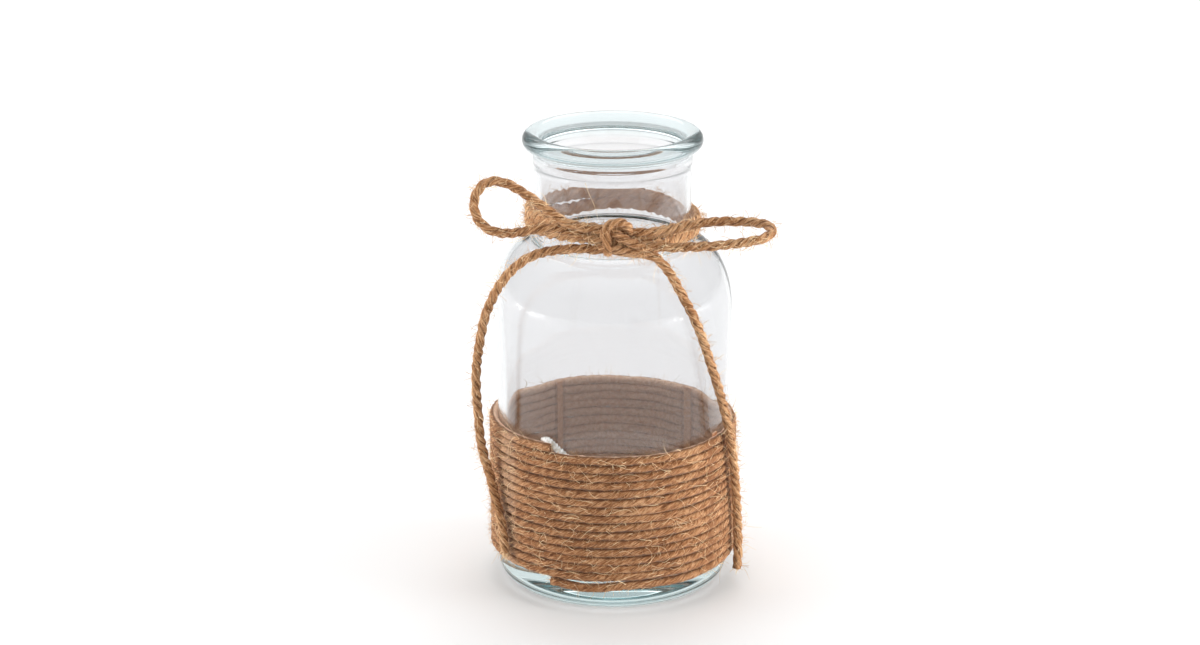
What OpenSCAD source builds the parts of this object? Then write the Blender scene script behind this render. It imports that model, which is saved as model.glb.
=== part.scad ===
// Glass bottle vase with a body winding of jute twine and a twine bow tied round its neck.
// Millimetres, +Z up, origin at the centre of the foot.

/* [Bottle] */
// Height from the foot to the top of the rolled lip
bottle_h = 143.8; // [138:0.2:156]
// Widest outer diameter, just under the shoulder
shoulder_d = 74; // [73:0.2:74.4]
// How far the straight wall is drawn in from the shoulder
body_in = 1; // [0.8:0.1:2]
// Thickness of the body wall
wall_t = 1.9; // [1.4:0.1:3]
// Thickness of the glass floor over the foot
floor_t = 6.5; // [4:0.5:9]
// Height of the rounded shoulder
shoulder_h = 21.8; // [18:0.2:24]
// Straight wall left over the winding, before it widens towards the shoulder
wall_over = 4.8; // [3:0.1:9]

/* [Foot] */
// How far the heel draws the wall in to the flat ring that the bottle stands on
heel_w = 5.6; // [4:0.2:8]
// Width of the flat ring
foot_ring_w = 4.4; // [3:0.2:8]
// Height of the rounded heel
heel_h = 5.6; // [4:0.2:7]
// Rise of the hollow under the foot, at its centre
punt_h = 1.6; // [0.6:0.2:2.4]

/* [Neck and lip] */
// Outer diameter of the neck
neck_d = 48.3; // [47:0.1:48.6]
// Thickness of the neck's wall
neck_wall = 1.8; // [1.4:0.1:2.4]
// Length of the straight neck, from the shoulder to the underside of the lip
neck_l = 26.7; // [24:0.1:30]
// How far the rolled lip stands out past the neck
lip_out = 3.6; // [2.4:0.1:4.4]
// Height of the rolled lip
lip_h = 5.4; // [4.6:0.1:6]
// How far the low ridge under the lip stands out past the neck
ridge_out = 0.35; // [0.2:0.05:1]
// Height of the ridge
ridge_h = 2.4; // [1.6:0.1:4]
// Distance from the ridge up to the underside of the lip
ridge_drop = 2.2; // [1.4:0.1:4]

/* [Body winding] */
// Turns of twine round the body
body_turns = 16; // [12:1:17]
// Distance from one turn to the next
body_pitch = 2.7; // [2.5:0.05:2.8]
// Height of the underside of the lowest turn
winding_z = 8.2; // [7:0.1:9]
// Clear gap between neighbouring turns
turn_gap = 0.44; // [0.42:0.01:0.6]
// Space between the glass and the twine, where the glue lies
glue_space = 0.5; // [0.45:0.05:0.8]
// Angle at which the winding starts and ends, from +X
winding_start = -120; // [-150:15:-105]

/* [Glue] */
// Width of a glue line
glue_line_w = 2.5; // [1.5:0.1:2.6]
// Hair gap between the glass and the glue
glue_hair = 0.05; // [0.04:0.01:0.1]
// Length of the glue dab past the winding's upper end
dab_l = 7.5; // [5:0.5:9]
// Height of the glue dab
dab_h = 2.6; // [2:0.1:3]
// Thickness of the glue dab
dab_t = 0.9; // [0.6:0.1:1.2]

/* [Neck tie] */
// Thickness of the twine that ties the neck and forms the bow
twine_d = 2.8; // [2.4:0.1:2.8]
// Distance from the lower turn round the neck to the upper one
tie_pitch = 3.25; // [3.25:0.05:3.4]
// Running gap between the neck and the tie
tie_gap = 0.55; // [0.5:0.05:0.6]
// How much lower the tie sits behind than in front
tie_tilt = 1.2; // [0:0.1:1.6]
// Height of the lower turn's start above the foot of the neck
tie_rise = 2.3; // [2.2:0.1:2.8]

/* [Knot] */
// Width of the knot, across the front
knot_w = 10; // [9.6:0.1:10.4]
// Height of the knot
knot_h = 10; // [9.8:0.1:10.6]
// Depth of the knot, front to back
knot_t = 6.4; // [6.2:0.1:7]
// Gap between the knot and the turn that passes behind it
knot_gap = 0.3; // [0.2:0.05:0.5]
// Radius of the knot's rounded edges
knot_r = 1.6; // [1:0.1:1.7]
// Width of the strand wrapped over the knot
wrap_w = 3.2; // [2:0.1:4]
// How far the wrapped strand stands out
wrap_t = 0.8; // [0.4:0.1:1.4]
// Length of the strand's stub that lies over the knot
stub_l = 3.6; // [2:0.1:5]

/* [Hidden] */

GLASS = [0.80, 0.88, 0.88, 0.45];
JUTE = [0.70, 0.50, 0.32];
JUTE_DARK = [0.62, 0.43, 0.27];
GLUE = [0.86, 0.84, 0.78];

// Levels of the bottle, from the lip down
lip_r = lip_h / 2;
lip_z = bottle_h - lip_r;
ridge_top = bottle_h - lip_h - ridge_drop;
ridge_slope = 0.3;
neck_z = bottle_h - lip_h - neck_l;
neck_fillet = [1.2, 1.4];
shoulder_top = neck_z - neck_fillet[1];
shoulder_z = shoulder_top - shoulder_h;
floor_z = punt_h + floor_t;
floor_fillet = 5;

// Radii of the bottle
neck_r = neck_d / 2;
bore_r = neck_r - neck_wall;
shoulder_r = shoulder_d / 2;
body_r = shoulder_r - body_in;
foot_r = body_r - heel_w;
foot_in = foot_r - foot_ring_w;
lip_mid = neck_r + lip_out - lip_r;
ridge_r = neck_r + ridge_out;

// The shoulder's arc is centred a little inside the neck, and stops where the fillet begins
shoulder_tuck = 0.9;
shoulder_end = 81;
shoulder_wall = 1.2;

// Winding: a tube of six sides, with flats towards the glass
ring_step = 15;
wind_d = body_pitch - turn_gap;
wind_r = body_r + glue_space + wind_d / 2;
wind_end_z = winding_z + wind_d / 2 + body_turns * body_pitch;
taper_z = wind_end_z + wind_d / 2 + wall_over;

// Glue lies between the glass and the flats of the winding
glue_in = body_r + glue_hair;
glue_t = glue_space - 2 * glue_hair;
glue_angles = [120, 45, -30, -150];
end_angle = wind_d / wind_r * 180 / PI;

// Neck tie: two turns whose ends swing out to the sides of the knot
tie_r = neck_r + tie_gap + twine_d / 2 * cos(30) - 0.02;
tie_z = neck_z + tie_rise;
tie_first = -60;
tie_sweep = 660;
tie_swing = [2.2, 0.4];

// Knot: its back clears the turn behind it, and its side faces hold the strands' ends
knot_back = tie_r + twine_d / 2 * cos(30) + knot_gap;
knot_y = -knot_back - knot_t / 2;
knot_z = tie_z + 4.4;
side_x = knot_w / 2;
port_gap = 3.2;
port_y = -32;
tie_port_y = -28.9;
upper_z = knot_z + port_gap;
lower_z = knot_z - port_gap;
right_drop = 1;

// Routes of the free twine, from the knot outwards; the first and last points lie on the knot
loop_left_route = concat([[-side_x, port_y, upper_z]], [
    [-8.5, -32.2, 122], [-14.5, -32.2, 124], [-19.5, -31.5, 127.5], [-24.5, -30.6, 131],
    [-29.5, -29.8, 134], [-34, -29, 135.4], [-38, -28.2, 134.4], [-40.6, -27.6, 131],
    [-41.2, -27.3, 127], [-40, -27.3, 123], [-36.8, -27.8, 120.2], [-32.5, -28.4, 119.2],
    [-27.5, -29.2, 119.8], [-22, -29.8, 121], [-16.5, -30.2, 121.2], [-11.5, -30.6, 120],
    [-8, -31.5, 118.9]], [[-side_x, port_y, knot_z]]);
loop_right_route = concat([[side_x, port_y, upper_z - right_drop]], [
    [8.5, -31.7, 120.3], [15, -29.8, 120.3], [22, -27.4, 121.2], [29, -25.2, 121.8],
    [36, -23.9, 121.6], [41.7, -23.7, 121.3], [45.7, -25.4, 121], [47.4, -29.4, 120.5],
    [45.7, -33.4, 119.6], [41.7, -35.1, 118.8], [36, -35.1, 117.9], [30, -34.6, 117.1],
    [23, -33.7, 116.5], [16, -32.7, 116.1], [10, -32.2, 116.9]],
    [[side_x, port_y, knot_z - right_drop]]);
tail_left_route = concat([[-side_x, port_y, lower_z]], [
    [-8.5, -32, 115.5], [-14, -31.7, 115.2], [-20, -31, 114.2], [-25.5, -29.8, 111.8],
    [-30, -28.2, 107.8], [-33.6, -26.6, 103], [-36.4, -25, 97.5], [-38.6, -23.4, 91.5],
    [-40, -21.8, 85], [-41.1, -20.2, 78.5], [-41.8, -18.8, 71.5], [-41.8, -17.6, 64.5],
    [-41.4, -16.6, 57.5], [-41, -16, 50.5], [-39.8, -16, 43.5], [-37.8, -17.2, 36.8],
    [-36.2, -19.2, 30.2], [-34.4, -21.8, 23.4], [-33.4, -23.3, 14.8]]);
tail_right_route = concat([[side_x, port_y, lower_z - right_drop]], [
    [8.5, -32, 114], [12.8, -31.8, 112.6], [16, -31.4, 109.2], [18.6, -31, 104.9],
    [21, -30.6, 100.2], [23.4, -30, 95.4], [25.6, -29, 90.2], [27.6, -27.6, 84.4],
    [29.4, -26, 78.4], [31.2, -24.2, 72.2], [33, -22.4, 65.8], [34.6, -20.6, 59.2],
    [36, -19, 52.4], [37, -17.2, 45.6], [37.8, -15.4, 38.8], [38.4, -13.9, 31.8],
    [38.9, -12.6, 24.8], [39.3, -11.6, 17.6], [39.4, -11.2, 10.8], [39.2, -11.4, 4.6]]);

function unit(v) = v / norm(v);

// An arc of an ellipse as n + 1 points
function arc(cx, cz, rx, rz, a0, a1, n) =
    [for (i = [0 : n]) let (a = a0 + (a1 - a0) * i / n) [cx + rx * cos(a), cz + rz * sin(a)]];

// Directions along a path. A given start or stop sets that end square to the face it lies on.
function headings(p, start, stop) = let (last = len(p) - 1)
    [for (i = [0 : last]) i == 0 && start != undef ? start : i == last && stop != undef ? stop :
        unit(p[min(i + 1, last)] - p[max(i - 1, 0)])];

// A side direction for each point, carried along the path without twist
function carried(t, first) =
    [for (i = 0, u = unit(first - (first * t[0]) * t[0]); i < len(t); i = i + 1,
          u = i < len(t) ? unit(u - (u * t[i]) * t[i]) : u) u];

// Level side directions, for a tube that runs round a vertical axis
function level(t) = [for (d = t) unit(cross(d, [0, 0, 1]))];

// Corner points of every ring of a tube
function rings(p, t, u, r, sides) =
    [for (i = [0 : len(p) - 1]) let (w = cross(u[i], t[i]))
        [for (k = [0 : sides - 1]) let (a = 360 * (k + 0.5) / sides)
            p[i] + r * (cos(a) * u[i] + sin(a) * w)]];

// A closed tube from its rings, with triangles all over
module skin(rows) {
    sides = len(rows[0]);
    last = len(rows) - 1;
    walls = [for (i = [0 : last - 1], k = [0 : sides - 1]) let (a = i * sides + k,
             b = i * sides + (k + 1) % sides) each [[a, b, b + sides], [a, b + sides, a + sides]]];
    ends = [for (k = [1 : sides - 2]) each [[0, k + 1, k],
            [last * sides, last * sides + k, last * sides + k + 1]]];
    polyhedron([for (row = rows) each row], concat(walls, ends));
}

// A free stretch of twine that leaves the knot's side face, and comes back to it if it is a loop
module cord(route, away, back) {
    t = headings(route, away, back);
    skin(rings(route, t, carried(t, [0, 1, 0]), twine_d / 2, 8));
}

// Centre points of the body winding, with a straight end a tube's thickness long
function body_turn(i) = let (a = winding_start + i * ring_step)
    [wind_r * cos(a), wind_r * sin(a), winding_z + wind_d / 2 + body_pitch * i * ring_step / 360];
body_last = body_turns * 360 / ring_step;
body_route = concat(
    [body_turn(0) - wind_d * unit(body_turn(1) - body_turn(0))],
    [for (i = [0 : body_last]) body_turn(i)],
    [body_turn(body_last) + wind_d * unit(body_turn(body_last) - body_turn(body_last - 1))]);

// Centre points of the turns round the neck, which swing out near their ends
tie_last = tie_sweep / ring_step;
function swing(i) = i < len(tie_swing) ? tie_swing[i] : 0;
function tie_turn(i) = let (a = tie_first + i * ring_step, r = tie_r + swing(i) + swing(tie_last - i))
    [r * cos(a), r * sin(a),
     tie_z + tie_pitch * (a + 90) / 360 - tie_tilt * (1 + sin(a)) / 2];
tie_end_z = tie_z + tie_pitch * 2;
tie_route = concat(
    [[side_x, tie_port_y, tie_z], [side_x + twine_d, tie_port_y, tie_z]],
    [for (i = [0 : tie_last]) tie_turn(i)],
    [[-side_x - twine_d, tie_port_y, tie_end_z], [-side_x, tie_port_y, tie_end_z]]);

body_rings = rings(body_route, headings(body_route), level(headings(body_route)), wind_d / 2, 6);
tie_rings = rings(tie_route, headings(tie_route), level(headings(tie_route)), twine_d / 2, 6);

// Least distance between the points of one turn and those of the next
function least_gap(rows, lap) =
    min([for (i = [0 : len(rows) - lap - 2], j = [lap - 1 : lap + 1], p = rows[i], q = rows[i + j])
        norm(p - q)]);
laps = 360 / ring_step;

// Right half of the bottle's section, from the middle of the foot round to the middle of the floor
module bottle_section() {
    punt = [for (i = [0 : 2]) let (r = foot_in * i / 3) [r, punt_h * (1 - (r / foot_in) ^ 2)]];
    foot = [[foot_in, 0]];
    heel = arc(foot_r, heel_h, heel_w, heel_h, -90, 0, 5);
    shoulder_in = neck_r - shoulder_tuck;
    shoulder = arc(shoulder_in, shoulder_z, shoulder_r - shoulder_in, shoulder_h, 0, shoulder_end, 8);
    fillet = arc(neck_r + neck_fillet[0], neck_z, neck_fillet[0], neck_fillet[1], 270, 180, 3);
    ridge = [[neck_r, ridge_top - ridge_h - ridge_slope], [ridge_r, ridge_top - ridge_h],
             [ridge_r, ridge_top], [neck_r, ridge_top + ridge_slope]];
    lip_drop = sqrt(lip_r ^ 2 - (lip_mid - neck_r) ^ 2);
    lip = arc(lip_mid, lip_z, lip_r, lip_r, atan2(-lip_drop, neck_r - lip_mid), 90, 6);
    mouth = arc(lip_mid, lip_z, lip_mid - bore_r, lip_r, 90, 180, 3);
    inner_r = body_r - wall_t;
    hollow = arc(bore_r, shoulder_z, shoulder_r - wall_t - bore_r, shoulder_h - shoulder_wall, 90, 0, 6);
    corner = arc(inner_r - floor_fillet, floor_z + floor_fillet, floor_fillet, floor_fillet, 0, -90, 3);
    polygon(concat(punt, foot, heel, [[body_r, taper_z]], shoulder, fillet, ridge, lip, mouth,
                   hollow, [[inner_r, taper_z]], corner, [[0, floor_z]]));
}

module glass_bottle() {
    color(GLASS) rotate_extrude($fn = 96) bottle_section();
}

module body_winding() {
    color(JUTE) skin(body_rings);
}

module glue_line(angle) {
    half = glue_line_w / 2 / body_r * 180 / PI;
    color(GLUE) rotate([0, 0, angle - half]) rotate_extrude(angle = 2 * half, $fn = 96)
        translate([glue_in, winding_z + wind_d / 2]) square([glue_t, body_turns * body_pitch]);
}

module glue_dab() {
    low = wind_end_z - body_pitch + wind_d / 2 + 0.3;
    color(GLUE) rotate([0, 0, winding_start + end_angle + 0.6])
        rotate_extrude(angle = dab_l / body_r * 180 / PI, $fn = 96)
            polygon([[glue_in, low], [glue_in + 0.8 * dab_t, low + 0.1 * dab_h],
                     [glue_in + dab_t, low + 0.4 * dab_h], [glue_in + 0.7 * dab_t, low + 0.8 * dab_h],
                     [glue_in, low + dab_h]]);
}

module neck_winding() {
    color(JUTE_DARK) skin(tie_rings);
}

// Outline of the knot seen from its side, with the front grown for the wrapped strand
module knot_outline(grow) {
    back = knot_t / 2 - knot_r;
    front = -back - grow;
    z = knot_h / 2 + grow - knot_r;
    polygon(concat(arc(back, z, knot_r, knot_r, 0, 90, 5), arc(front, z, knot_r, knot_r, 90, 180, 5),
                   arc(front, -z, knot_r, knot_r, 180, 270, 5), arc(back, -z, knot_r, knot_r, 270, 360, 5)));
}

// A strand along X with cut ends, a twine's radius longer than its length at each end
module stub(l) {
    translate([-twine_d / 2, 0, 0]) rotate([0, 90, 0]) cylinder(d = twine_d, h = l + twine_d, $fn = 32);
}

module bow_knot() {
    color(JUTE) translate([0, knot_y, knot_z]) {
        rotate([90, 0, 90]) {
            translate([0, 0, -knot_w / 2]) linear_extrude(knot_w) knot_outline(0);
            translate([0, 0, -wrap_w / 2]) linear_extrude(wrap_w) knot_outline(wrap_t);
        }
        translate([0, 0, knot_h / 2 + wrap_t / 2]) stub(stub_l);
    }
}

module bow_loop_left() {
    color(JUTE) cord(loop_left_route, [-1, 0, 0], [1, 0, 0]);
}

module bow_loop_right() {
    color(JUTE) cord(loop_right_route, [1, 0, 0], [-1, 0, 0]);
}

module bow_tail_left() {
    color(JUTE_DARK) cord(tail_left_route, [-1, 0, 0]);
}

module bow_tail_right() {
    color(JUTE_DARK) cord(tail_right_route, [1, 0, 0]);
}

echo(body_winding_gap = least_gap(body_rings, laps), neck_winding_gap = least_gap(tie_rings, laps));

glass_bottle();
body_winding();
for (i = [1 : len(glue_angles)])
    glue_line(glue_angles[i - 1]);
glue_dab();
neck_winding();
bow_knot();
bow_loop_left();
bow_loop_right();
bow_tail_left();
bow_tail_right();
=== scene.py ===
# Glass bottle vase with jute twine wound round its body and tied in a bow round its neck.
# Lengths are in millimetres until a mesh is made, with +Z up and the origin under the foot's centre.

import math

import bpy
import numpy as np
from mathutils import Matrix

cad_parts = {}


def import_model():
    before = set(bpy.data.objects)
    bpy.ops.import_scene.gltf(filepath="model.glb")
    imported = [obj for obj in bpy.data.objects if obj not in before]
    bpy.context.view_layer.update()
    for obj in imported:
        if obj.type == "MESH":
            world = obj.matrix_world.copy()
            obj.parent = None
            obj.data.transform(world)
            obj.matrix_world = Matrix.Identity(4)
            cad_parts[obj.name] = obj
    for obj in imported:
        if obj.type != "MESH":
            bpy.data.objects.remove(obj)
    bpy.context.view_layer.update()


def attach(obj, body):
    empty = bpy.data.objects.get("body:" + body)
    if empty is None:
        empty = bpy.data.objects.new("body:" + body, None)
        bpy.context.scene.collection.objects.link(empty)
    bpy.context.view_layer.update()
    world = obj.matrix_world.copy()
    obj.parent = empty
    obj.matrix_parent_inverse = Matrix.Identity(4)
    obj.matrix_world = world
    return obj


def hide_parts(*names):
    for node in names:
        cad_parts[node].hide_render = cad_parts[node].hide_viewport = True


MM = 0.001

# Bottle
BOTTLE_H = 143.8
SHOULDER_R = 37.0
BODY_R = 36.0
WALL = 1.9
SHOULDER_H = 21.8
FOOT_R = 30.4
FOOT_RING = 4.4
HEEL_H = 5.6
PUNT_H = 1.6
FLOOR_Z = 8.1
TAPER_Z = 58.5
NECK_R = 24.15
NECK_Z = 111.7
BORE_R = 22.35
LIP_R = 2.7
LIP_MID = 25.05
RIDGE_R = 24.5
RIDGE_TOP = 136.2
RIDGE_H = 2.4

# Twine
PLY_R = 0.88
PLY_OFF = 0.66
LAY = 11.5

# Body winding
TURNS = 16
PITCH = 2.7
WIND_LOW = 9.33
WIND_START = -120
WIND_R = BODY_R + 1.42

# Neck tie
TIE_R = 25.89
TIE_Z = 114.0
TIE_PITCH = 3.25
TIE_TILT = 1.2
TIE_FIRST = -60
TIE_SWEEP = 660
TIE_SWING = (2.2, 0.4)

# Routes of the bow's free twine, as in the part's source
LOOP_LEFT = [
    (-5, -32, 121.6), (-8.5, -32.2, 122), (-14.5, -32.2, 124), (-19.5, -31.5, 127.5), (-24.5, -30.6, 131),
    (-29.5, -29.8, 134), (-34, -29, 135.4), (-38, -28.2, 134.4), (-40.6, -27.6, 131), (-41.2, -27.3, 127),
    (-40, -27.3, 123), (-36.8, -27.8, 120.2), (-32.5, -28.4, 119.2), (-27.5, -29.2, 119.8), (-22, -29.8, 121),
    (-16.5, -30.2, 121.2), (-11.5, -30.6, 120), (-8, -31.5, 118.9), (-5, -32, 118.4)]
LOOP_RIGHT = [
    (5, -32, 120.6), (8.5, -31.7, 120.3), (15, -29.8, 120.3), (22, -27.4, 121.2), (29, -25.2, 121.8),
    (36, -23.9, 121.6), (41.7, -23.7, 121.3), (45.7, -25.4, 121), (47.4, -29.4, 120.5), (45.7, -33.4, 119.6),
    (41.7, -35.1, 118.8), (36, -35.1, 117.9), (30, -34.6, 117.1), (23, -33.7, 116.5), (16, -32.7, 116.1),
    (10, -32.2, 116.9), (5, -32, 117.4)]
TAIL_LEFT = [
    (-5, -32, 115.2), (-8.5, -32, 115.5), (-14, -31.7, 115.2), (-20, -31, 114.2), (-25.5, -29.8, 111.8),
    (-30, -28.2, 107.8), (-33.6, -26.6, 103), (-36.4, -25, 97.5), (-38.6, -23.4, 91.5), (-40, -21.8, 85),
    (-41.1, -20.2, 78.5), (-41.8, -18.8, 71.5), (-41.8, -17.6, 64.5), (-41.4, -16.6, 57.5), (-41, -16, 50.5),
    (-39.8, -16, 43.5), (-37.8, -17.2, 36.8), (-36.2, -19.2, 30.2), (-34.4, -21.8, 23.4), (-33.4, -23.3, 14.8)]
TAIL_RIGHT = [
    (5, -32, 114.2), (8.5, -32, 114), (12.8, -31.8, 112.6), (16, -31.4, 109.2), (18.6, -31, 104.9),
    (21, -30.6, 100.2), (23.4, -30, 95.4), (25.6, -29, 90.2), (27.6, -27.6, 84.4), (29.4, -26, 78.4),
    (31.2, -24.2, 72.2), (33, -22.4, 65.8), (34.6, -20.6, 59.2), (36, -19, 52.4), (37, -17.2, 45.6),
    (37.8, -15.4, 38.8), (38.4, -13.9, 31.8), (38.9, -12.6, 24.8), (39.3, -11.6, 17.6), (39.4, -11.2, 10.8),
    (39.2, -11.4, 4.6)]

# Camera, fitted to the lip, the body and the foot in the photograph
CAMERA_AT = (0, -869.95, 360.5)
CAMERA_DOWN = 17.739
LENS = 88.07
SENSOR = 36
SHIFT_X = -0.0106


# Node trees

class Link:
    """A socket in a node tree that takes part in sums as a number does."""

    def __init__(self, bench, socket):
        self.bench = bench
        self.socket = socket

    def math(self, operation, *others):
        values = {i: value for i, value in enumerate((self,) + others)}
        return self.bench.node("ShaderNodeMath", {"operation": operation}, values)

    def out(self, name):
        return Link(self.bench, self.socket.node.outputs[name])

    def __add__(self, other):
        return self.math("ADD", other)

    def __radd__(self, other):
        return self.math("ADD", other)

    def __sub__(self, other):
        return self.math("SUBTRACT", other)

    def __rsub__(self, other):
        return (self * -1) + other

    def __mul__(self, other):
        return self.math("MULTIPLY", other)

    def __rmul__(self, other):
        return self.math("MULTIPLY", other)

    def __truediv__(self, other):
        return self.math("DIVIDE", other)

    def __pow__(self, other):
        return self.math("POWER", other)


class Bench:
    """Adds nodes to one tree and links them."""

    def __init__(self, tree):
        self.tree = tree

    def node(self, kind, settings=None, values=None, out=0):
        made = self.tree.nodes.new(kind)
        for key, value in (settings or {}).items():
            if key == "stops":
                self.set_stops(made.color_ramp, value)
            else:
                setattr(made, key, value)
        for key, value in (values or {}).items():
            if isinstance(value, Link):
                self.tree.links.new(value.socket, made.inputs[key])
            else:
                made.inputs[key].default_value = value
        return Link(self, made.outputs[out]) if made.outputs else made

    def set_stops(self, ramp, stops):
        while len(ramp.elements) < len(stops):
            ramp.elements.new(1)
        for element, (place, colour) in zip(ramp.elements, stops):
            element.position = place
            element.color = (*colour, 1)

    def vector(self, operation, a, b=None, out=0):
        values = {0: a} if b is None else {0: a, ("Scale" if operation == "SCALE" else 1): b}
        return self.node("ShaderNodeVectorMath", {"operation": operation}, values, out)

    def mix(self, factor, a, b):
        values = {0: factor, 6: a, 7: b}
        return self.node("ShaderNodeMix", {"data_type": "RGBA"}, values, 2)

    def remap(self, value, low, high, to_low=0.0, to_high=1.0):
        values = {0: value, 1: low, 2: high, 3: to_low, 4: to_high}
        return self.node("ShaderNodeMapRange", {"interpolation_type": "SMOOTHSTEP"}, values)

    def noise(self, vector, scale=1.0, detail=2.0, rough=0.5):
        values = {"Vector": vector, "Scale": scale, "Detail": detail, "Roughness": rough}
        return self.node("ShaderNodeTexNoise", None, values)


def geometry_bench(name, sizes, returns="Geometry"):
    """A geometry tree with a geometry socket, number sockets with the given defaults, and a material socket."""
    tree = bpy.data.node_groups.new(name, "GeometryNodeTree")
    tree.interface.new_socket("Geometry", in_out="INPUT", socket_type="NodeSocketGeometry")
    for key, value in sizes.items():
        kind = "NodeSocketInt" if isinstance(value, int) else "NodeSocketFloat"
        tree.interface.new_socket(key, in_out="INPUT", socket_type=kind).default_value = value
    tree.interface.new_socket("Finish", in_out="INPUT", socket_type="NodeSocketMaterial")
    tree.interface.new_socket(returns, in_out="OUTPUT", socket_type="NodeSocketGeometry")
    bench = Bench(tree)
    return bench, bench.node("NodeGroupInput")


def finish_tree(bench, geometry, finish):
    whole = bench.node("GeometryNodeRealizeInstances", None, {0: geometry})
    dressed = bench.node("GeometryNodeSetMaterial", None, {"Geometry": whole, "Material": finish})
    bench.node("NodeGroupOutput", None, {0: dressed})
    return bench.tree


def grown(name, mesh, tree, finish, **sizes):
    """The plain mesh object that a geometry tree makes of a mesh, with its inputs set by their identifiers."""
    seed = bpy.data.objects.new(name + "_seed", mesh)
    bpy.context.scene.collection.objects.link(seed)
    modifier = seed.modifiers.new("grow", "NODES")
    modifier.node_group = tree
    sockets = {s.name: s.identifier for s in tree.interface.items_tree if s.in_out == "INPUT"}
    for key, value in sizes.items():
        modifier[sockets[key.replace("_", " ").capitalize()]] = value
    modifier[sockets["Finish"]] = finish
    depsgraph = bpy.context.evaluated_depsgraph_get()
    plain = bpy.data.meshes.new_from_object(seed.evaluated_get(depsgraph))
    plain.name = name
    bpy.data.objects.remove(seed)
    return linked(name, plain, finish)


def linked(name, mesh, finish):
    """Puts a mesh in the scene as an object at the origin."""
    if not mesh.materials:
        mesh.materials.append(finish)
    made = bpy.data.objects.new(name, mesh)
    bpy.context.scene.collection.objects.link(made)
    return made


def plain_mesh(name, points, faces, edges=()):
    mesh = bpy.data.meshes.new(name)
    mesh.from_pydata([tuple(p) for p in np.asarray(points) * MM], edges, faces)
    mesh.update()
    return mesh


# Routes

def smooth_route(points, steps=8):
    """A smooth curve through points, as a dense list."""
    p = np.array(points, float)
    p = np.vstack([2 * p[0] - p[1], p, 2 * p[-1] - p[-2]])
    route = []
    for i in range(1, len(p) - 2):
        for t in np.arange(steps) / steps:
            a, b, c, d = p[i - 1], p[i], p[i + 1], p[i + 2]
            route.append(0.5 * (2 * b + (c - a) * t + (2 * a - 5 * b + 4 * c - d) * t ** 2
                                + (3 * b - a - 3 * c + d) * t ** 3))
    return np.array(route + [p[-2]])


def route_mesh(name, route):
    edges = [(i, i + 1) for i in range(len(route) - 1)]
    return plain_mesh(name, route, [], edges)


def body_route():
    """The winding's helix. Its lower end sags a little, as the loose first turn does."""
    turns = np.arange(0, TURNS * 120 + 1) / 120
    angle = np.radians(WIND_START + 360 * turns)
    sag = 1.0 * np.exp(-(((turns - 0.05) / 0.035) ** 2)) + 0.45 * np.exp(-(((turns - 0.18) / 0.04) ** 2))
    wobble = 0.10 * np.sin(angle * 5.3 + 1) + 0.07 * np.sin(angle * 2.17 + 4)
    z = WIND_LOW + PITCH * turns - sag + wobble * np.minimum(turns, 1)
    r = WIND_R + 0.06 * np.sin(angle * 3.1)
    return np.stack([r * np.cos(angle), r * np.sin(angle), z], 1)


def tie_point(degrees):
    a = np.radians(degrees)
    step = min(degrees - TIE_FIRST, TIE_FIRST + TIE_SWEEP - degrees) / 15
    swing = float(np.interp(step, (0, 1, 2), (*TIE_SWING, 0)))
    z = TIE_Z + TIE_PITCH * (degrees + 90) / 360 - TIE_TILT * (1 + math.sin(a)) / 2
    z -= 1.5 * math.exp(-(((degrees - 125) / 22) ** 2))
    z -= 0.9 * math.exp(-((((degrees + 10) % 360 - 45) / 26) ** 2))
    z -= 1.3 * math.exp(-(((degrees - 358) / 26) ** 2))
    return ((TIE_R + swing) * math.cos(a), (TIE_R + swing) * math.sin(a), z)


def tie_route():
    """Two turns round the neck, from inside the knot and back into it."""
    start = [(0.5, -30.2, 115.4), (5, -28.9, 114), (7.8, -28.9, 114)]
    stop = [(-7.8, -28.9, 120.5), (-5, -28.9, 120.5), (-0.5, -30.2, 119)]
    turns = [tie_point(d) for d in np.arange(TIE_FIRST, TIE_FIRST + TIE_SWEEP + 1, 7.5)]
    return smooth_route(start + turns + stop, 3)


# Twine

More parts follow.
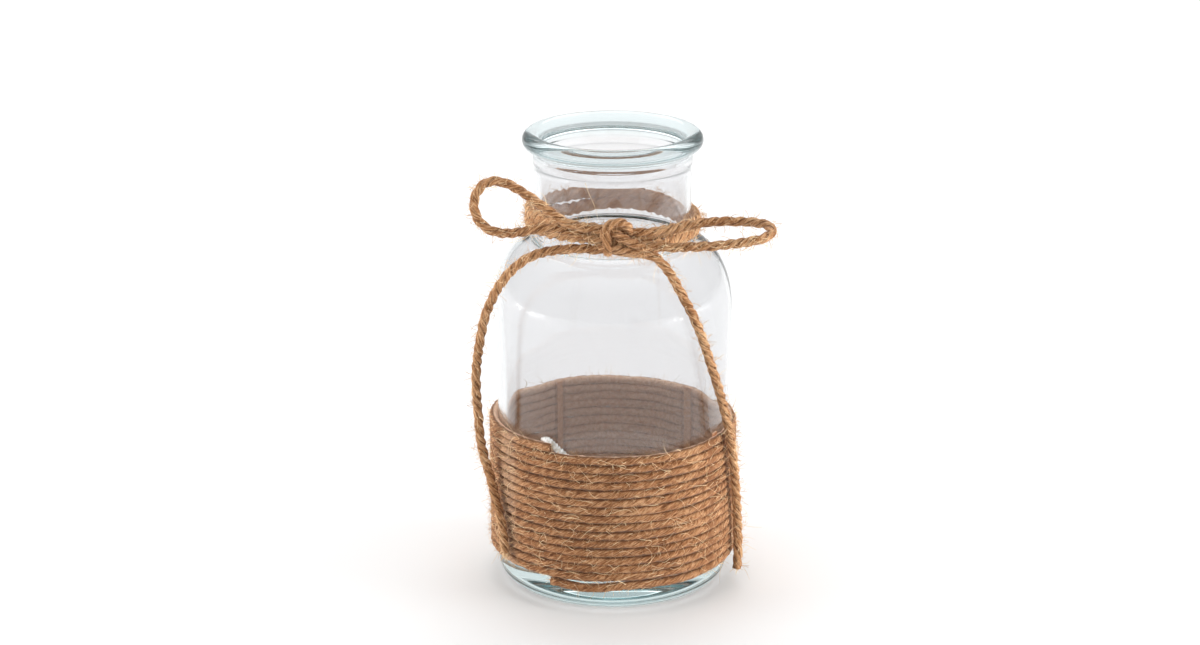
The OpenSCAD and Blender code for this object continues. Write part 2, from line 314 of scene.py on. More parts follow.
def twine_tree():
    """Turns a route into twine: a tube with a lobe for each ply, turned once in every lay."""
    sizes = {"Ply radius": PLY_R * MM, "Ply offset": PLY_OFF * MM, "Lay": LAY * MM, "Step": 0.8 * MM,
             "Ragged": 0.14 * MM, "Tall": 1.0, "Thick": 1.0, "Sides": 15}
    bench, given = geometry_bench("twine", sizes)
    line = bench.node("GeometryNodeMeshToCurve", None, {0: given})
    line = bench.node("GeometryNodeResampleCurve", {"mode": "LENGTH"}, {0: line, "Length": given.out("Step")})
    along = bench.node("GeometryNodeSplineParameter", out="Length")
    uneven = bench.noise(bench.node("ShaderNodeCombineXYZ", None, {0: along}), 90.0, 1.0) * 3.2
    line = bench.node("GeometryNodeSetCurveTilt", None,
                      {0: line, "Tilt": along * (-2 * math.pi) / given.out("Lay") + uneven})
    kept, centre, distance = capture(bench, line, {"VECTOR": bench.node("GeometryNodeInputPosition"),
                                                   "FLOAT": along})

    ring = bench.node("GeometryNodeCurvePrimitiveCircle", None,
                      {"Resolution": given.out("Sides"), "Radius": 1.0})
    spot = bench.node("ShaderNodeSeparateXYZ", None, {0: bench.node("GeometryNodeInputPosition")})
    turn = spot.out("Y").math("ARCTAN2", spot.out("X"))
    lobe = turn.math("WRAP", math.pi / 3, -math.pi / 3)
    offset, ply = given.out("Ply offset"), given.out("Ply radius")
    across = offset * lobe.math("SINE")
    reach = offset * lobe.math("COSINE") + (ply * ply - across * across).math("SQRT")
    ring = bench.node("GeometryNodeSetPosition", None, {
        0: ring, "Position": bench.vector("SCALE", bench.node("GeometryNodeInputPosition"), reach)})
    profile, rim = capture(bench, ring, {"VECTOR": bench.node("GeometryNodeInputPosition")})

    tube = bench.node("GeometryNodeCurveToMesh", None,
                      {"Curve": kept, "Profile Curve": profile, "Fill Caps": True})
    # The twine's own coordinates: across the profile in X and Y, along the route in Z
    flat = bench.node("ShaderNodeSeparateXYZ", None, {0: rim})
    fibre = bench.node("ShaderNodeCombineXYZ", None,
                       {0: flat.out("X"), 1: flat.out("Y"), 2: distance})
    tube = bench.node("GeometryNodeStoreNamedAttribute",
                      {"data_type": "FLOAT_VECTOR", "domain": "POINT"},
                      {0: tube, "Name": "fibre", "Value": fibre})
    # The ridge: 0 down in the grooves of the twist and 1 on the plies' crowns, which the jute finishes use to paint
    # shade into the grooves.
    valley = offset * 0.5 + (ply * ply - offset * offset * 0.75).math("SQRT")
    groove = bench.remap(bench.vector("LENGTH", rim, out="Value"), valley, offset + ply)
    tube = bench.node("GeometryNodeStoreNamedAttribute", {"data_type": "FLOAT", "domain": "POINT"},
                      {0: tube, "Name": "ridge", "Value": groove})

    # Ragged thickness, then the flattening of twine that is pulled tight against the neck
    place = bench.node("GeometryNodeInputPosition")
    off = bench.vector("SUBTRACT", place, centre)
    rough = bench.noise(bench.vector("MULTIPLY", fibre, (1, 1, 0.35)), 1100.0, 2.0) - 0.5
    off = bench.vector("ADD", off, bench.vector("SCALE", bench.vector("NORMALIZE", off),
                                                rough * given.out("Ragged") * 2))
    out_dir = bench.vector("NORMALIZE", bench.vector("MULTIPLY", centre, (1, 1, 0)))
    depth = bench.vector("DOT_PRODUCT", off, out_dir, out="Value")
    rise = bench.node("ShaderNodeSeparateXYZ", None, {0: off}).out("Z")
    up = bench.node("ShaderNodeCombineXYZ", None, {2: rise * (given.out("Tall") - 1)})
    off = bench.vector("ADD", off, bench.vector("SCALE", out_dir, depth * (given.out("Thick") - 1)))
    off = bench.vector("ADD", off, up)
    tube = bench.node("GeometryNodeSetPosition", None,
                      {0: tube, "Position": bench.vector("ADD", centre, off)})
    tube = bench.node("GeometryNodeSetShadeSmooth", None, {0: tube})
    return finish_tree(bench, tube, given.out("Finish"))


def capture(bench, geometry, fields):
    """Keeps fields on a geometry's points: hands back the geometry and one link for each field."""
    node = bench.tree.nodes.new("GeometryNodeCaptureAttribute")
    bench.tree.links.new(geometry.socket, node.inputs[0])
    for i, (kind, field) in enumerate(fields.items()):
        node.capture_items.new(kind, "kept" + str(i))
        bench.tree.links.new(field.socket, node.inputs[i + 1])
    return [Link(bench, node.outputs[i]) for i in range(len(fields) + 1)]


def fuzz_tree():
    """Grows short bent fibres on the outward side of a twine's surface."""
    sizes = {"Density": 0.2 / MM ** 2, "Hair": 3.0 * MM, "Slender": 0.02, "Inward": -0.2, "Joints": 3, "Seed": 1}
    bench, given = geometry_bench("fuzz", sizes)
    normal = bench.node("GeometryNodeInputNormal")
    place = bench.node("GeometryNodeInputPosition")
    out_dir = bench.vector("NORMALIZE", bench.vector("MULTIPLY", place, (1, 1, 0)))
    facing = bench.vector("DOT_PRODUCT", normal, out_dir, out="Value")
    picked = bench.node("FunctionNodeCompare", {"operation": "GREATER_THAN"},
                        {0: facing, 1: given.out("Inward")})
    points = bench.node("GeometryNodeDistributePointsOnFaces", None, {
        "Mesh": given, "Selection": picked, "Density": given.out("Density"), "Seed": given.out("Seed")})
    upright = points.out("Normal")

    hair = bench.node("GeometryNodeCurveQuadraticBezier", None, {
        "Resolution": given.out("Joints"), "Start": (0, 0, 0), "Middle": (0.05, 0, 0.5), "End": (0.6, 0.1, 0.75)})
    hair = bench.node("GeometryNodeCurveToMesh", None, {
        "Curve": hair,
        "Profile Curve": bench.node("GeometryNodeCurvePrimitiveCircle", None,
                                    {"Resolution": 3, "Radius": given.out("Slender")}),
        "Fill Caps": True})
    stray = bench.node("FunctionNodeRandomValue", {"data_type": "FLOAT_VECTOR"}, {
        0: (-1.0, -1.0, -1.0), 1: (1.0, 1.0, 1.0), "Seed": given.out("Seed")})
    lean = bench.vector("ADD", upright, bench.vector("SCALE", stray, 0.75))
    turned = bench.node("FunctionNodeAlignRotationToVector", {"axis": "Z"}, {"Vector": lean})
    spin = bench.node("FunctionNodeRandomValue", {"data_type": "FLOAT"}, {
        2: 0.0, 3: 2 * math.pi, "Seed": given.out("Seed") + 5}, out=1)
    roll = bench.node("ShaderNodeCombineXYZ", None, {2: spin})
    turned = bench.node("FunctionNodeRotateRotation", {"rotation_space": "LOCAL"}, {0: turned, 1: roll})
    draw = bench.node("FunctionNodeRandomValue", {"data_type": "FLOAT"}, {
        2: 0.0, 3: 1.0, "Seed": given.out("Seed") + 9}, out=1)
    size = given.out("Hair") * (draw ** 2.2 * 0.85 + 0.15)
    hairs = bench.node("GeometryNodeInstanceOnPoints", None,
                       {"Points": points, "Instance": hair, "Rotation": turned, "Scale": size})
    hairs = bench.node("GeometryNodeRealizeInstances", None, {0: hairs})
    sway = bench.vector("SUBTRACT", bench.noise(place, 260.0, 1.0).out("Color"), (0.5, 0.5, 0.5))
    hairs = bench.node("GeometryNodeSetPosition", None, {
        0: hairs, "Offset": bench.vector("SCALE", sway, given.out("Hair") * 0.35)})
    return finish_tree(bench, hairs, given.out("Finish"))


# Glass

def arc(cx, cz, rx, rz, start, stop, steps):
    a = np.radians(np.linspace(start, stop, steps + 1))
    return [(cx + rx * math.cos(t), cz + rz * math.sin(t)) for t in a]


def straight(a, b, steps):
    return [tuple(np.array(a) + (np.array(b) - np.array(a)) * i / steps) for i in range(steps + 1)]


def glass_outline():
    """The wall's section from the middle of the foot, up the outside and down the inside to the floor."""
    foot_in = FOOT_R - FOOT_RING
    shoulder_z = NECK_Z - 1.4 - SHOULDER_H
    shoulder_in = NECK_R - 0.9
    lip_z = BOTTLE_H - LIP_R
    drop = math.degrees(math.atan2(-math.sqrt(LIP_R ** 2 - (LIP_MID - NECK_R) ** 2), NECK_R - LIP_MID))
    punt = [(foot_in * t, PUNT_H * (1 - t ** 2)) for t in np.linspace(0, 0.96, 24)]
    outside = punt + straight((foot_in, 0.02), (FOOT_R, 0), 3)
    outside += arc(FOOT_R, HEEL_H, BODY_R - FOOT_R, HEEL_H, -84, 0, 16)
    outside += straight((BODY_R, HEEL_H + 1), (BODY_R, TAPER_Z), 20)
    outside += straight((BODY_R + 0.03, TAPER_Z + 1), (SHOULDER_R - 0.02, shoulder_z - 1), 8)
    outside += arc(shoulder_in, shoulder_z, SHOULDER_R - shoulder_in, SHOULDER_H, 0, 81, 40)
    outside += arc(NECK_R + 1.2, NECK_Z, 1.2, 1.4, 262, 180, 8)
    outside += straight((NECK_R, NECK_Z + 1), (NECK_R, RIDGE_TOP - RIDGE_H - 0.5), 12)
    outside += [(RIDGE_R - 0.05, RIDGE_TOP - RIDGE_H), (RIDGE_R, RIDGE_TOP - RIDGE_H + 0.3)]
    outside += [(RIDGE_R, RIDGE_TOP - 0.3), (RIDGE_R - 0.05, RIDGE_TOP), (NECK_R, RIDGE_TOP + 0.4)]
    outside += [(NECK_R, RIDGE_TOP + 1.6)]
    outside += arc(LIP_MID, lip_z, LIP_R, LIP_R, drop + 8, 90, 30)
    inside = arc(LIP_MID, lip_z, LIP_MID - BORE_R, LIP_R, 95, 180, 14)
    corner_z = shoulder_z + SHOULDER_H - 1.2 + 2
    inside += straight((BORE_R, lip_z - 1), (BORE_R, corner_z + 0.5), 14)
    inside += arc(BORE_R + 2, corner_z, 2, 2, 180, 262, 10)
    hollow_r = SHOULDER_R - WALL - BORE_R
    inside += arc(BORE_R, shoulder_z, hollow_r, SHOULDER_H - 1.2, 77, 0, 34)
    inner = BODY_R - WALL
    inside += straight((BORE_R + hollow_r - 0.03, shoulder_z - 1), (inner, TAPER_Z), 8)
    inside += straight((inner, TAPER_Z - 1), (inner, FLOOR_Z + 6), 16)
    inside += arc(inner - 5, FLOOR_Z + 5, 5, 5, 0, -90, 14)
    inside += [(r, FLOOR_Z) for r in np.linspace(inner - 6, 0, 16)]
    return outside, inside


def glass_mesh(around=192):
    """Both skins of the bottle as one closed shell. The inner one waves slightly, as blown glass does."""
    outside, inside = glass_outline()
    a = np.linspace(0, 2 * math.pi, around, endpoint=False)
    ripple = 0.10 * np.sin(3 * a + 0.6) + 0.07 * np.sin(7 * a + 2.1) + 0.05 * np.sin(13 * a + 4)
    rows = []
    for i, (r, z) in enumerate(outside[1:] + inside[:-1]):
        inner_skin = i >= len(outside) - 1
        wave = ripple * min(1, r / BORE_R) * (0.25 if z > NECK_Z else 1) if inner_skin else 0 * a
        rows.append(np.stack([(r + wave) * np.cos(a), (r + wave) * np.sin(a), z + 0 * a], 1))
    points = np.vstack(rows + [[(0, 0, outside[0][1])], [(0, 0, inside[-1][1])]])
    k = np.arange(around)
    n = (k + 1) % around
    faces = []
    for i in range(len(rows) - 1):
        low, high = i * around, (i + 1) * around
        faces += np.stack([low + k, low + n, high + n, high + k], 1).tolist()
    last = (len(rows) - 1) * around
    faces += np.stack([n, k, 0 * k + len(points) - 2], 1).tolist()
    faces += np.stack([last + k, last + n, 0 * k + len(points) - 1], 1).tolist()
    mesh = plain_mesh("glass", points, faces)
    mesh.shade_smooth()
    return mesh


# Materials

def new_material(name):
    material = bpy.data.materials.new(name)
    material.use_nodes = True
    material.node_tree.nodes.clear()
    bench = Bench(material.node_tree)
    shader = bench.node("ShaderNodeBsdfPrincipled")
    output = material.node_tree.nodes.new("ShaderNodeOutputMaterial")
    bench.tree.links.new(shader.socket, output.inputs["Surface"])
    return material, bench, shader.socket.node, output


def feed(bench, shader, **links):
    for key, link in links.items():
        bench.tree.links.new(link.socket, shader.inputs[key.replace("_", " ")])


def clear_glass():
    material, bench, shader, output = new_material("clear_glass")
    place = bench.node("ShaderNodeTexCoord", out="Object")
    height = bench.node("ShaderNodeSeparateXYZ", None, {0: place}).out("Z")
    # The glass is painted lighter towards the foot, painted light that lifts the shade seen through the thick base, and
    # given a teal tint at the lip.
    low = bench.remap(height, 14 * MM, 3 * MM)
    top = bench.remap(height, 135 * MM, 139 * MM)
    colour = bench.mix(low, (0.878, 0.874, 0.882, 1), (0.975, 0.965, 0.96, 1))
    feed(bench, shader, Base_Color=bench.mix(top, colour, (0.83, 0.895, 0.905, 1)))
    shader.inputs["Transmission Weight"].default_value = 1
    shader.inputs["Roughness"].default_value = 0.0
    shader.inputs["IOR"].default_value = 1.52
    tint = bench.node("ShaderNodeVolumeAbsorption", None, {"Color": (0.30, 0.66, 0.69, 1), "Density": 8.5})
    bench.tree.links.new(tint.socket, output.inputs["Volume"])
    return material


def jute(name, dark, middle, light, winding):
    """Twisted jute: streaks along the plies, blotches along the length, and painted shade in the grooves of the twist.
    """
    material, bench, shader, output = new_material(name)
    fibre = bench.node("ShaderNodeAttribute", {"attribute_name": "fibre"}, out="Vector")
    ridge = bench.node("ShaderNodeAttribute", {"attribute_name": "ridge"}, out="Fac")
    place = bench.node("ShaderNodeTexCoord", out="Object")
    fine = bench.noise(bench.vector("MULTIPLY", fibre, (5200, 5200, 420)), 1.0, 3.0, 0.6)
    strands = bench.noise(bench.vector("MULTIPLY", fibre, (2300, 2300, 560)), 1.0, 2.0, 0.6)
    blotch = bench.noise(place, 90.0, 2.0)
    tone = fine * 0.35 + strands * 0.65 + (blotch - 0.5) * 0.2
    colour = bench.node("ShaderNodeValToRGB", {"stops": [(0.38, dark), (0.5, middle), (0.62, light)]},
                        {0: tone})
    # Painted shade: the twine is darkened in the grooves of the twist, where the ridge is low, for the shade that falls
    # there; the wound twine gets less of it.
    shade = bench.remap(ridge + (strands - 0.5) * 0.9, 0.0, 0.6, 0.7 if winding else 0.1, 1.0)
    colour = bench.mix(1 - shade, colour, (*[c * 0.5 for c in dark], 1))
    colour = glued(bench, colour, place) if winding else pressed(bench, colour, place)
    bump = bench.node("ShaderNodeBump", None, {
        "Strength": 0.9, "Distance": 0.0005, "Height": fine * 0.5 + strands * 0.7})
    rough = bench.remap(fine, 0.3, 0.7, 0.95, 0.75)
    feed(bench, shader, Base_Color=colour, Roughness=rough, Normal=bump)
    shader.inputs["Specular IOR Level"].default_value = 0.25
    shader.inputs["Sheen Weight"].default_value = 0.12
    shader.inputs["Sheen Roughness"].default_value = 0.5
    return material


def glued(bench, colour, place):
    """Twine that glue has soaked: dark stripes over the glue lines, painted shade in the valleys where the rows meet,
    and a light, mottled side that faces the glass, glue-wet and painted far lighter as painted light for the turns seen
    through the glass.
    """
    spot = bench.node("ShaderNodeSeparateXYZ", None, {0: place})
    angle = spot.out("Y").math("ARCTAN2", spot.out("X"))
    waver = (bench.noise(bench.vector("MULTIPLY", place, (0, 0, 1)), 140.0, 2.0) - 0.5) * 0.05
    dark = stripe(bench, angle + waver, -38, 3) * 0.5
    for centre in (45, 120):
        dark = dark.math("MAXIMUM", stripe(bench, angle + waver, centre, 5) * 0.22)
        for side in (-2.9, 2.9):
            dark = dark.math("MAXIMUM", stripe(bench, angle + waver, centre + side, 1.6) * 0.36)
    colour = bench.mix(dark, colour, (0.20, 0.085, 0.035, 1))
    pale = stripe(bench, angle + waver, -147, 9) * 0.22
    colour = bench.mix(pale, colour, (0.62, 0.50, 0.38, 1))
    flat = bench.vector("LENGTH", bench.vector("MULTIPLY", place, (1, 1, 0)), out="Value")
    patchy = (bench.noise(place, 240.0, 2.0) - 0.5) * 0.9 * MM
    # Painted shade: the twine darkens towards the valleys where the rows meet, standing in for the shade that falls
    # there.
    painted_row_shade = bench.remap(flat + patchy, (WIND_R + 1.15) * MM, (WIND_R + 0.45) * MM, 0.0, 0.82)
    colour = bench.mix(painted_row_shade, colour, (0.15, 0.062, 0.024, 1))
    # Painted light: the glue-wet side that faces the glass is painted a light, mottled orange, far lighter than the
    # twine, to stand in for the light that the turns seen through the glass don't get.
    glue_film_and_painted_light = bench.remap(flat, (BODY_R + 1.8) * MM, (BODY_R + 1.1) * MM, 0.0, 0.92)
    mottled = bench.mix(bench.remap(bench.noise(place, 900.0, 3.0, 0.7), 0.35, 0.65), (0.84, 0.51, 0.34, 1),
                        (1.0, 0.70, 0.50, 1))
    return bench.mix(dark * 0.8, bench.mix(glue_film_and_painted_light, colour, mottled), (0.30, 0.13, 0.055, 1))


def pressed(bench, colour, place):
    """The neck twine's inner side, which is pale and flat where it presses on the glass."""
    flat = bench.vector("LENGTH", bench.vector("MULTIPLY", place, (1, 1, 0)), out="Value")
    inner = bench.remap(flat, (TIE_R + 0.1) * MM, (TIE_R - 0.7) * MM, 0.0, 0.75)
    return bench.mix(inner, colour, (0.66, 0.40, 0.26, 1))


def stripe(bench, angle, centre, half):
    away = (angle - math.radians(centre)).math("ABSOLUTE")
    return bench.remap(away, math.radians(half), math.radians(half * 0.3), 0.0, 1.0)


def fluff(name, colour):
    material, bench, shader, output = new_material(name)
    place = bench.node("ShaderNodeTexCoord", out="Object")
    tone = bench.noise(place, 300.0, 1.0)
    pale = tuple(min(1, c * 1.35) for c in colour)
    mixed = bench.node("ShaderNodeValToRGB", {"stops": [(0.35, colour), (0.65, pale)]}, {0: tone})
    feed(bench, shader, Base_Color=mixed)
    shader.inputs["Roughness"].default_value = 0.6
    shader.inputs["Specular IOR Level"].default_value = 0.3
    return material


def dried_glue():
    material, bench, shader, output = new_material("dried_glue")
    place = bench.node("ShaderNodeTexCoord", out="Object")
    clouds = bench.noise(place, 900.0, 3.0)
    colour = bench.node("ShaderNodeValToRGB", {"stops": [(0.3, (0.74, 0.40, 0.22)), (0.7, (0.92, 0.57, 0.36))]},
                        {0: clouds})
    bump = bench.node("ShaderNodeBump", None, {"Strength": 0.5, "Distance": 0.0002, "Height": clouds})
    feed(bench, shader, Base_Color=colour, Normal=bump)
    shader.inputs["Roughness"].default_value = 0.25
    return material


def glue_skin():
    """The thick, shiny smear, milky and a little soiled by the twine."""
    material, bench, shader, output = new_material("glue_skin")
    place = bench.node("ShaderNodeTexCoord", out="Object")
    clouds = bench.noise(place, 700.0, 3.0)
    colour = bench.node("ShaderNodeValToRGB", {"stops": [(0.35, (0.46, 0.42, 0.37)), (0.6, (0.80, 0.80, 0.78))]},
                        {0: clouds})
    bump = bench.node("ShaderNodeBump", None, {"Strength": 0.7, "Distance": 0.0003, "Height": clouds})
    feed(bench, shader, Base_Color=colour, Normal=bump)
    shader.inputs["Roughness"].default_value = 0.18
    return material


def white_floor():
    material, bench, shader, output = new_material("floor_white")
    shader.inputs["Base Color"].default_value = (0.93, 0.93, 0.93, 1)
    shader.inputs["Roughness"].default_value = 0.9
    shader.inputs["Specular IOR Level"].default_value = 0.0
    return material


# Making

def make_camera():
    camera = bpy.data.objects.new("camera", bpy.data.cameras.new("camera"))
    bpy.context.scene.collection.objects.link(camera)
    camera.data.sensor_fit = "HORIZONTAL"
    camera.data.sensor_width = SENSOR
    camera.data.lens = LENS
    camera.data.shift_x = SHIFT_X
    camera.data.clip_start = 0.01
    camera.location = [c * MM for c in CAMERA_AT]
    camera.rotation_euler = (math.radians(90 - CAMERA_DOWN), 0, 0)
    bpy.context.scene.camera = camera


def make_cords(twine, finish):
    """The bow's two loops and two tails. Each strand starts under the knot's wrapped strand."""
    made = []
    free = {
        "bow_left_loop": (LOOP_LEFT, "bow_loop_left", (1.5, -31.6, 120.8), (1.5, -31.6, 118.4)),
        "bow_right_loop": (LOOP_RIGHT, "bow_loop_right", (-1.5, -31.6, 119.8), (-1.5, -31.6, 117.4)),
        "bow_left_tail": (TAIL_LEFT, "bow_tail_left", (1.2, -31.8, 115.8), None),
        "bow_right_tail": (TAIL_RIGHT, "bow_tail_right", (-1.2, -31.8, 115.4), None),
    }
    for name, (points, node, start, stop) in free.items():
        route = smooth_route([start] + points + ([stop] if stop else []))
        cord = grown(name, route_mesh(name, route), twine, finish)
        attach(cord, "neck_tie")
        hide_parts(node)
        [c * MM for c in points[0]]
        made.append(cord)
    return made


def make_neck_twine(twine, finish):
    turns = grown("neck_turns", route_mesh("neck_turns", tie_route()), twine, finish,
                  lay=12 * MM, tall=1.45, thick=0.85, ragged=0.3 * MM)
    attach(turns, "neck_tie")
    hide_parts("neck_winding")
    return turns


def make_knot(twine, finish):
    """The strand wrapped over the crossing, and the arch that bulges out on top of it."""
    wrap = [(-1.2, -29.4, 117.5), (-1.3, -29.3, 115.6), (-1.4, -31.2, 114.4), (-1.5, -33.6, 115),
            (-1.7, -34.7, 116.8), (-1.8, -34.8, 118.8), (-1.7, -34.3, 120.8), (-1.3, -32.6, 122.3),
            (-1, -30.4, 122.2), (-1, -29.2, 120.6)]
    arch = [(-2.4, -32.6, 118.8), (-2.3, -33.6, 121), (-1.2, -34.1, 123.1), (1, -34.2, 124.1),
            (3.2, -33.9, 123.8), (4.6, -33.3, 122.3), (4.7, -32.2, 120.2), (4, -31, 118.8)]
    cross = [(0.4, -32.4, 121.4), (0.6, -33.9, 120.9), (2.4, -34.9, 119.8), (5, -34.7, 118.4),
             (7.6, -33.8, 117), (9.8, -32.6, 115.6), (11.2, -31.4, 114.6)]
    under = [(-4.6, -31.2, 116.4), (-2, -33, 115.9), (1, -33.9, 115.9), (4, -33.6, 115.4), (7, -32.6, 114.4),
             (9.4, -31.6, 113.6)]
    core = [(-3.4, -31.2, 120.4), (-1, -32.2, 121.2), (1.4, -32.4, 121.6), (3.4, -31.9, 121), (5.6, -31.2, 120.2)]
    pieces = [grown("knot_" + name, route_mesh(name, smooth_route(points)), twine, finish,
                    lay=9 * MM, ragged=0.24 * MM)
              for name, points in (("wrap", wrap), ("arch", arch), ("cross", cross), ("under", under), ("core", core))]
    for piece in pieces:
        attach(piece, "neck_tie")
    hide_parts("bow_knot")
    return pieces


def make_body_twine(twine, finish):
    turns = grown("body_turns", route_mesh("body_turns", body_route()), twine, finish,
                  ply_radius=1.10 * MM, ply_offset=0.31 * MM, lay=15 * MM, tall=1.03, thick=0.97,
                  ragged=0.26 * MM)
    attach(turns, "bottle")
    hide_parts("body_winding")
    return turns


def make_fuzz(name, source, tree, finish, body, **sizes):
    fuzz = grown(name, source.data.copy(), tree, finish, **sizes)
    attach(fuzz, body)
    return fuzz


def stray_hairs(route, count, lengths, lean, seed, clear=0):
    """Long loose fibres that start on a route's surface and wander off, as lists of points."""
    draw = np.random.default_rng(seed)
    hairs = []
    while len(hairs) < count:
        i = int(draw.integers(1, len(route) - 2))
        ahead = route[i + 1] - route[i - 1]
        ahead /= np.linalg.norm(ahead)
        out = draw.normal(size=3)
        out -= ahead * out.dot(ahead)
        out /= np.linalg.norm(out)
        axis_out = np.array((route[i][0], route[i][1], 0)) / np.linalg.norm(route[i][:2])
        if out.dot(axis_out) < 0.1:
            continue
        length = lengths[0] + (lengths[1] - lengths[0]) * draw.random() ** 2
        way = out * lean + ahead * draw.choice((-1, 1)) * draw.uniform(0.3, 1.2) + draw.normal(size=3) * 0.3
        way /= np.linalg.norm(way)
        bend = draw.normal(size=3) * 0.2
        points = [route[i] + out * 1.1]
        for _ in range(6):
            points.append(points[-1] + way * length / 6)
            way = way + bend + draw.normal(size=3) * 0.1
            way /= np.linalg.norm(way)
        hair = np.array(points)
        hair[:, 2] = np.maximum(hair[:, 2], 0.3)
        if clear:
            # Fibres of a wound twine lie on the rows, a little way off them
            r = np.linalg.norm(hair[:, :2], axis=1)
            least = clear + np.linspace(-0.4, 0.5, len(hair)) + draw.random() * 0.3
            hair[:, :2] *= (np.maximum(r, least) / r)[:, None]
        hairs.append(hair)
    return hairs


def hair_mesh(name, hairs, thick):
    """Three-sided fibres that thin towards their tips."""
    points, faces = [], []
    for hair in hairs:
        ahead = np.gradient(hair, axis=0)
        ahead /= np.linalg.norm(ahead, axis=1)[:, None]
        side = np.cross(ahead, (0.3, 0.5, 0.81))
        side /= np.linalg.norm(side, axis=1)[:, None]
        up = np.cross(ahead, side)
        first = len(points)
        for k, spot in enumerate(hair):
            r = thick * (1 - 0.75 * k / (len(hair) - 1))
            for turn in (0, 2 * math.pi / 3, 4 * math.pi / 3):
                points.append(spot + r * (side[k] * math.cos(turn) + up[k] * math.sin(turn)))
        for k in range(len(hair) - 1):
            for j in range(3):
                a, b = first + 3 * k + j, first + 3 * k + (j + 1) % 3
                faces.append((a, b, b + 3, a + 3))
        last = first + 3 * (len(hair) - 1)
        faces += [(first + 2, first + 1, first), (last, last + 1, last + 2)]
    return plain_mesh(name, points, faces)


def frayed_end(at, ahead, count, lengths, spread, seed):
    """Fibres that splay from a cut end."""
    draw = np.random.default_rng(seed)
    hairs = []
    for _ in range(count):
        off = draw.normal(size=3) * 0.55
        way = np.array(ahead, float) + draw.normal(size=3) * spread
        way /= np.linalg.norm(way)
        length = draw.uniform(*lengths)
        hairs.append(np.array([np.array(at) + off + way * length * t + draw.normal(size=3) * 0.08 * t
                               for t in (0, 0.35, 0.7, 1)]))
    return hairs


def make_hairs(finish):
    """The tie's long fibres and frayed ends, and the winding's long fibres."""
    tie = []
    for i, (points, count) in enumerate(((LOOP_LEFT, 90), (LOOP_RIGHT, 100), (TAIL_LEFT, 90), (TAIL_RIGHT, 90))):
        tie += stray_hairs(smooth_route(points), count, (2, 8), 0.9, 40 + i)
    tie += stray_hairs(tie_route(), 150, (2, 6.5), 1.3, 47)
    tie += frayed_end(TAIL_LEFT[-1], (0.1, -0.25, -1), 46, (1.2, 3.4), 0.34, 51)
    tie += frayed_end(TAIL_RIGHT[-1], (0, 0, -1), 16, (0.5, 1.6), 0.25, 52)
    tie.append(smooth_route([(-8.2, -25.6, 134), (-7.2, -26.2, 131.2), (-5.4, -28, 127.5), (-4.2, -30.6, 123.6),
                             (-3, -33, 121)], 2))
    body = body_route()
    wound = stray_hairs(body, 900, (2.5, 9), 0.3, 61, clear=WIND_R + 1.4)
    wound += stray_hairs(body[-130:], 110, (1.5, 5), 1.2, 63)
    wound += frayed_end(body[0], (-0.3, 0.1, -0.1), 30, (0.6, 2), 0.5, 53)
    wound += frayed_end(body[-1], (0.3, -0.1, 0.1), 24, (0.6, 2), 0.5, 54)
    for name, hairs, body_name, slot in (("tie_hairs", tie, "neck_tie", "jute_loose"),
                                         ("body_hairs", wound, "bottle", "jute_wound")):
        made = linked(name, hair_mesh(name, hairs, 0.085), finish)
        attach(made, body_name)


def make_dab(finish):
    """The smear of glue over the winding's upper cut end, and down onto its last turn."""
    spine = [(-127, 54.1, 36.3, 0.5, 0.2), (-124.4, 54.4, 36.4, 1.0, 0.6), (-121.8, 54.2, 36.5, 1.3, 0.8),
             (-119.4, 53.2, 36.5, 1.5, 0.9), (-117.2, 52, 36.5, 1.6, 0.9), (-114.8, 51, 36.5, 1.5, 0.9),
             (-112.2, 50.3, 36.6, 1.1, 0.8), (-109.8, 49.9, 36.8, 0.5, 0.4)]
    spine = smooth_route(spine, 6)
    ring = np.linspace(0, 2 * math.pi, 16, endpoint=False)
    points, faces = [], []
    for k, (turn, z, r, wide, tall) in enumerate(spine):
        wide *= 1 + 0.18 * math.sin(k * 1.7)
        for t in ring:
            lift = tall * max(0, math.sin(t)) - 0.05 * max(0, -math.sin(t))
            a = math.radians(turn)
            points.append(((r + lift) * math.cos(a), (r + lift) * math.sin(a), z + wide * math.cos(t)))
    n = len(ring)
    for k in range(len(spine) - 1):
        for j in range(n):
            a, b = k * n + j, k * n + (j + 1) % n
            faces.append((a, a + n, b + n, b))
    faces += [tuple(range(n)), tuple(reversed(range(len(points) - n, len(points))))]
    mesh = plain_mesh("glue_smear", points, faces)
    mesh.shade_smooth()
    made = linked("glue_smear", mesh, finish)
    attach(made, "bottle")
    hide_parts("glue_dab")


def make_glass(finish):
    glass = linked("bottle_glass", glass_mesh(), finish)
    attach(glass, "bottle")
    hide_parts("glass_bottle")


def make_stage():
    size = 4000
    corners = [(-size, -size, -0.05), (size, -size, -0.05), (size, size, -0.05), (-size, size, -0.05)]
    floor = linked("floor", plain_mesh("floor", corners, [(0, 1, 2, 3)]), white_floor())


def make_light(name, at, size, power, mirrored=True):
    lamp = bpy.data.lights.new(name, "AREA")
    lamp.shape = "RECTANGLE"
    lamp.size = size[0] * MM
    lamp.size_y = size[1] * MM
    lamp.energy = power
    holder = bpy.data.objects.new(name, lamp)
    holder.visible_glossy = mirrored
    holder.visible_transmission = mirrored
    bpy.context.scene.collection.objects.link(holder)
    holder.location = [c * MM for c in at]
    aim = np.array((0, 0, 70)) - np.array(at)
    flat = math.hypot(aim[0], aim[1])
    holder.rotation_euler = (math.atan2(flat, -aim[2]), 0, math.atan2(aim[1], aim[0]) - math.pi / 2)


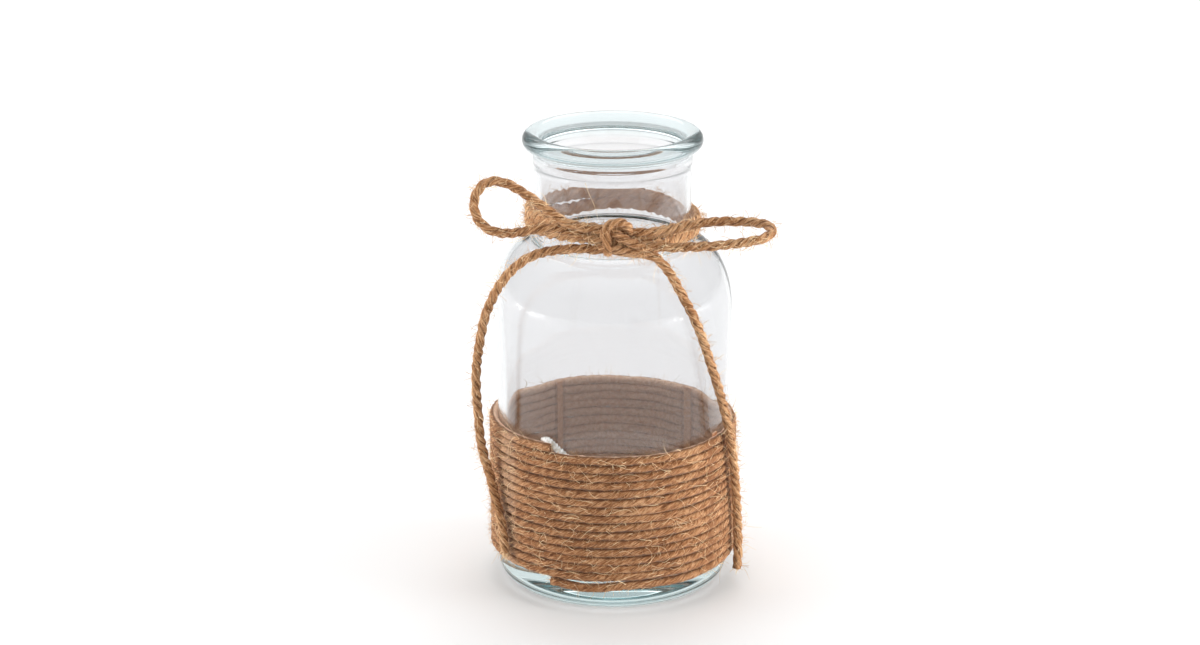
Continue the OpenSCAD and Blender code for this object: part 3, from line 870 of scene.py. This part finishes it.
def make_world():
    world = bpy.data.worlds.new("studio")
    bpy.context.scene.world = world
    world.use_nodes = True
    world.node_tree.nodes.clear()
    bench = Bench(world.node_tree)
    ray = bench.node("ShaderNodeSeparateXYZ", None, {0: bench.node("ShaderNodeTexCoord", out="Generated")})
    light = bench.remap(ray.out("Y"), -0.8, 0.6, 0.38, 0.66) + bench.remap(ray.out("Z"), 0.35, 0.95, 0.0, 0.55)
    grey = bench.node("ShaderNodeCombineColor", None, {0: light, 1: light, 2: light})
    back = bench.node("ShaderNodeBackground", None, {"Color": grey, "Strength": 1.0})
    output = world.node_tree.nodes.new("ShaderNodeOutputWorld")
    bench.tree.links.new(back.socket, output.inputs["Surface"])


def main():
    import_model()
    make_camera()
    twine = twine_tree()
    fuzz = fuzz_tree()
    loose = jute("jute_loose", (0.225, 0.089, 0.032), (0.47, 0.232, 0.100), (0.75, 0.48, 0.27), False)
    wound = jute("jute_wound", (0.155, 0.057, 0.021), (0.375, 0.167, 0.069), (0.60, 0.345, 0.18), True)
    hair = fluff("jute_fluff", (0.58, 0.36, 0.19))
    bow = make_cords(twine, loose)
    bow.append(make_neck_twine(twine, loose))
    bow += make_knot(twine, loose)
    body = make_body_twine(twine, wound)
    make_glass(clear_glass())
    glue = dried_glue()
    make_dab(glue_skin())
    make_hairs(fluff("jute_stray", (0.80, 0.58, 0.36)))
    for name in ("glue_line_1", "glue_line_2", "glue_line_3", "glue_line_4"):
        node = bpy.data.objects[name]
        node.data.materials.clear()
        node.data.materials.append(glue)
    for i, piece in enumerate(bow):
        make_fuzz(piece.name + "_fuzz", piece, fuzz, hair, "neck_tie", density=1.1 / MM ** 2, hair=3.2 * MM, seed=i + 3)
    make_fuzz("body_fuzz", body, fuzz, hair, "bottle", density=0.7 / MM ** 2, hair=2.6 * MM, inward=0.2, joints=1, seed=2)
    make_stage()
    make_world()
    make_light("top", (0, 1050, 1500), (1800, 1400), 9.5)
    make_light("right", (1260, -280, 120), (650, 210), 19, False)
    make_light("left", (-1290, -130, 120), (650, 210), 13, False)
    bpy.context.scene.view_settings.view_transform = "Standard"
    for kind in ("max_bounces", "transmission_bounces", "glossy_bounces", "transparent_max_bounces"):
        setattr(bpy.context.scene.cycles, kind, 32)
    # Light reaches the twine and the floor through glass that stays sharp
    bpy.context.scene.cycles.blur_glossy = 0


main()
